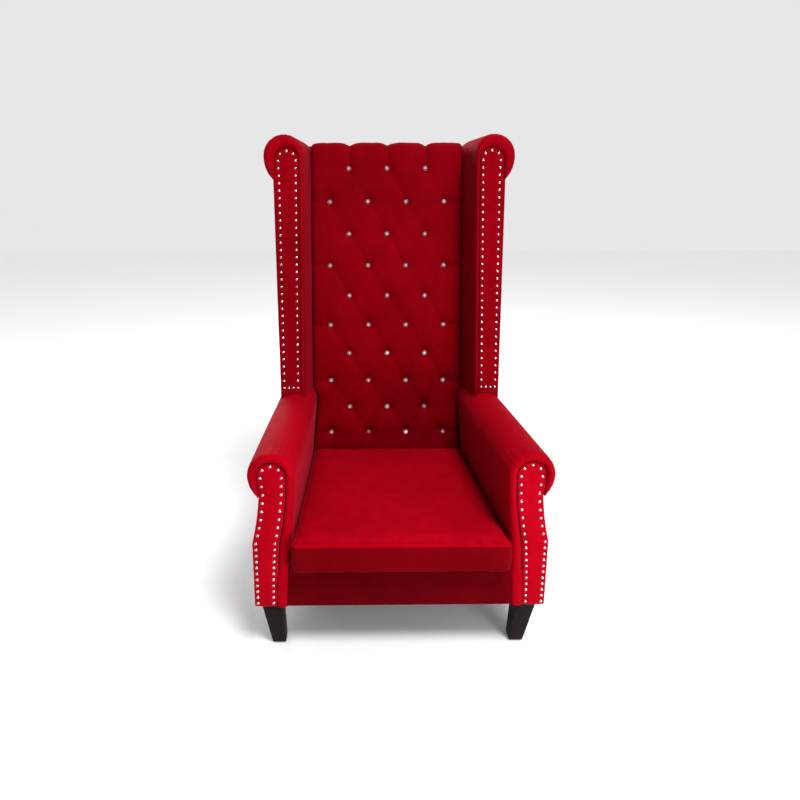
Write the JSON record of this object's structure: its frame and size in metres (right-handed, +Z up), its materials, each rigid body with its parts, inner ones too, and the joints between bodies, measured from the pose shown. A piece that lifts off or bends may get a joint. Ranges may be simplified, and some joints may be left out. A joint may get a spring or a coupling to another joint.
{
  "type": "armchair",
  "caption": "High wing-back throne armchair with button-tufted velvet back, rolled arms and wings edged in dome nails, and a lift-out seat cushion.",
  "frame": {"origin": "on the floor, under the middle of the chair's box", "axes": "+Z up, -Y out of the chair's front, +X to the right for someone facing it"},
  "size_m": [0.8642, 0.944, 1.504],
  "materials": {
    "velvet": "short-pile velvet",
    "leg_wood": "near-black brown stain, satin",
    "frame_wood": "sawn hardwood, unfinished",
    "plywood": "birch plywood, unfinished",
    "nail_metal": "nickel-plated, polished",
    "crystal": "clear faceted glass, foil back",
    "steel": "plain steel",
    "glide_plastic": "moulded nylon",
    "foam": "open-cell upholstery foam",
    "webbing": "woven jute",
    "lining": "black non-woven cloth"
  },
  "bodies": {
    "chair": {"arm_front_board_left": "plywood", "arm_front_board_right": "plywood", "arm_front_panel_left": "velvet", "arm_front_panel_right": "velvet", "arm_nails_left": "nail_metal", "arm_nails_right": "nail_metal", "arm_pad_left": "velvet", "arm_pad_right": "velvet", "arm_rail_left": "frame_wood", "arm_rail_right": "frame_wood", "back_foam": "foam", "back_post_left": "frame_wood", "back_post_right": "frame_wood", "back_webbing": "webbing", "button_cups": "nail_metal", "corner_blocks": "frame_wood", "crystal_buttons": "crystal", "dust_cover": "lining", "front_apron": "velvet", "front_leg_left": "leg_wood", "front_leg_right": "leg_wood", "front_seat_rail": "frame_wood", "inside_back_cover": "velvet", "leg_bolts": "steel", "leg_glides": "glide_plastic", "lower_back_rail": "frame_wood", "middle_back_rail": "frame_wood", "outside_arm_panel_left": "velvet", "outside_arm_panel_right": "velvet", "outside_back_panel": "velvet", "outside_wing_panel_left": "velvet", "outside_wing_panel_right": "velvet", "rear_leg_left": "leg_wood", "rear_leg_right": "leg_wood", "rear_seat_rail": "frame_wood", "seat_deck_cloth": "lining", "seat_deck_pad": "foam", "seat_springs": "steel", "side_seat_rail_left": "frame_wood", "side_seat_rail_right": "frame_wood", "spring_clips": "steel", "top_back_rail": "frame_wood", "tufting_twines": "webbing", "wing_front_board_left": "plywood", "wing_front_board_right": "plywood", "wing_front_panel_left": "velvet", "wing_front_panel_right": "velvet", "wing_nails_left": "nail_metal", "wing_nails_right": "nail_metal", "wing_pad_left": "velvet", "wing_pad_right": "velvet", "wing_rail_left": "frame_wood", "wing_rail_right": "frame_wood", "wing_side_board_left": "plywood", "wing_side_board_right": "plywood"},
    "seat_cushion": {"seat_cushion_cover": "velvet", "seat_cushion_foam": "foam", "cushion_zipper": "glide_plastic"}
  },
  "joints": [
    {"name": "seat_cushion_lift_out", "type": "slide", "parent": "chair", "child": "seat_cushion", "axis": [0, -0.9397, 0.342], "range_m": [0, 0.75]}
  ]
}
